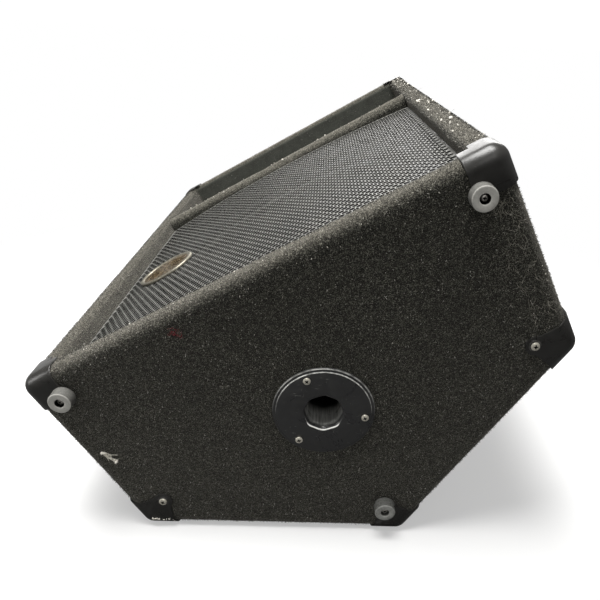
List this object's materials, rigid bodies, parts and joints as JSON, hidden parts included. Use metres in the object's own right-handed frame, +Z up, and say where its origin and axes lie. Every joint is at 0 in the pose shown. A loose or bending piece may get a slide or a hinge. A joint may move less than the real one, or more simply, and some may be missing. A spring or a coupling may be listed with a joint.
{
  "type": "stage monitor wedge",
  "caption": "Carpeted stage floor monitor wedge with a bowed steel grille over a large woofer, a horn and input plate in an open bay, corner protectors, side feet and a pole socket.",
  "frame": {"origin": "centre of the bounding box's underside: the floor the cabinet rests on, under the underside of its corner protectors", "axes": "+Z up with the cabinet resting on its base panel, +Y along its width away from the pole socket side, +X from the low front edge towards the back; the baffle faces up and towards -X at 30 degrees to level"},
  "size_m": [0.558, 0.7876, 0.4502],
  "materials": {
    "plywood": "raw plywood, 19 mm",
    "black_painted_board": "19 mm board, textured black paint",
    "carpet": "pressed short pile, charcoal",
    "grille_steel": "black powder coat",
    "guard_plastic": "black moulded plastic, scuffed",
    "foot_rubber": "grey rubber",
    "bright_screw": "bright zinc plate",
    "cup_plastic": "black moulded plastic",
    "badge_metal": "aged bronze with a bright rim",
    "cast_frame": "black painted casting",
    "motor": "ferrite ring between plated steel plates",
    "paper_cone": "pressed paper pulp",
    "treated_cloth": "resin treated cloth",
    "spider_cloth": "corrugated cloth",
    "copper": "enamelled copper wire",
    "horn_plastic": "black moulded plastic",
    "titanium": "drawn foil",
    "panel_metal": "black textured paint",
    "nickel": "nickel plate",
    "knob_plastic": "satin black",
    "circuit_board": "green resist",
    "cable": "black jacket",
    "wadding": "polyester wadding"
  },
  "bodies": {
    "cabinet": {"side_panel_near": "plywood", "side_panel_far": "plywood", "front_wall": "plywood", "base_panel": "plywood", "sloped_panel": "plywood", "back_wall": "plywood", "divider_batten": "plywood", "baffle_board": "black_painted_board", "carpet_side_near": "carpet", "carpet_side_far": "carpet", "carpet_wrap": "carpet", "carpet_divider": "carpet", "grille": "grille_steel", "corner_front_near": "guard_plastic", "corner_front_far": "guard_plastic", "corner_lower_front_near": "guard_plastic", "corner_lower_front_far": "guard_plastic", "corner_bottom_near": "guard_plastic", "corner_bottom_far": "guard_plastic", "corner_lower_back_near": "guard_plastic", "corner_lower_back_far": "guard_plastic", "corner_back_near": "guard_plastic", "corner_back_far": "guard_plastic", "foot_front": "foot_rubber", "foot_bottom": "foot_rubber", "foot_back": "foot_rubber", "foot_screw_front": "bright_screw", "foot_screw_bottom": "bright_screw", "foot_screw_back": "bright_screw", "protector_screw_lower_front": "bright_screw", "protector_screw_lower_back": "bright_screw", "socket_screw_1": "bright_screw", "socket_screw_2": "bright_screw", "socket_screw_3": "bright_screw", "pole_socket": "cup_plastic", "badge": "badge_metal", "woofer_frame": "cast_frame", "woofer_magnet": "motor", "woofer_gasket": "treated_cloth", "crossover_coil": "copper", "horn_flare": "horn_plastic", "driver_body": "horn_plastic", "input_plate": "panel_metal", "jack_input": "nickel", "jack_link": "nickel", "level_pot": "nickel", "mode_switch": "nickel", "crossover_board": "circuit_board", "woofer_cable": "cable", "horn_cable": "cable", "input_cable": "cable", "damping_pad": "wadding"},
    "woofer_cone_assembly": {"woofer_cone": "paper_cone", "woofer_dust_cap": "paper_cone", "woofer_surround": "treated_cloth", "woofer_spider": "spider_cloth", "woofer_voice_coil": "copper"},
    "driver_diaphragm_body": {"driver_diaphragm": "titanium"},
    "level_knob_body": {"level_knob": "knob_plastic"},
    "mode_slider_body": {"mode_slider": "knob_plastic"}
  },
  "joints": [
    {"name": "woofer_cone_slide", "type": "slide", "parent": "cabinet", "child": "woofer_cone_assembly", "axis": [-0.5, 0, 0.866], "range_m": [-0.004, 0.004], "stiffness_N_per_m": 4500},
    {"name": "driver_diaphragm_slide", "type": "slide", "parent": "cabinet", "child": "driver_diaphragm_body", "axis": [-0.5, 0, 0.866], "range_m": [-0.0004, 0.0004]},
    {"name": "level_knob_turn", "type": "hinge", "parent": "cabinet", "child": "level_knob_body", "pos_m": [-0.18738, 0.30855, 0.19562], "axis": [-0.5, 0, 0.866], "range_deg": [-150, 150]},
    {"name": "mode_slider_slide", "type": "slide", "parent": "cabinet", "child": "mode_slider_body", "axis": [0.866, 0, 0.5], "range_m": [-0.003, 0.003]}
  ]
}
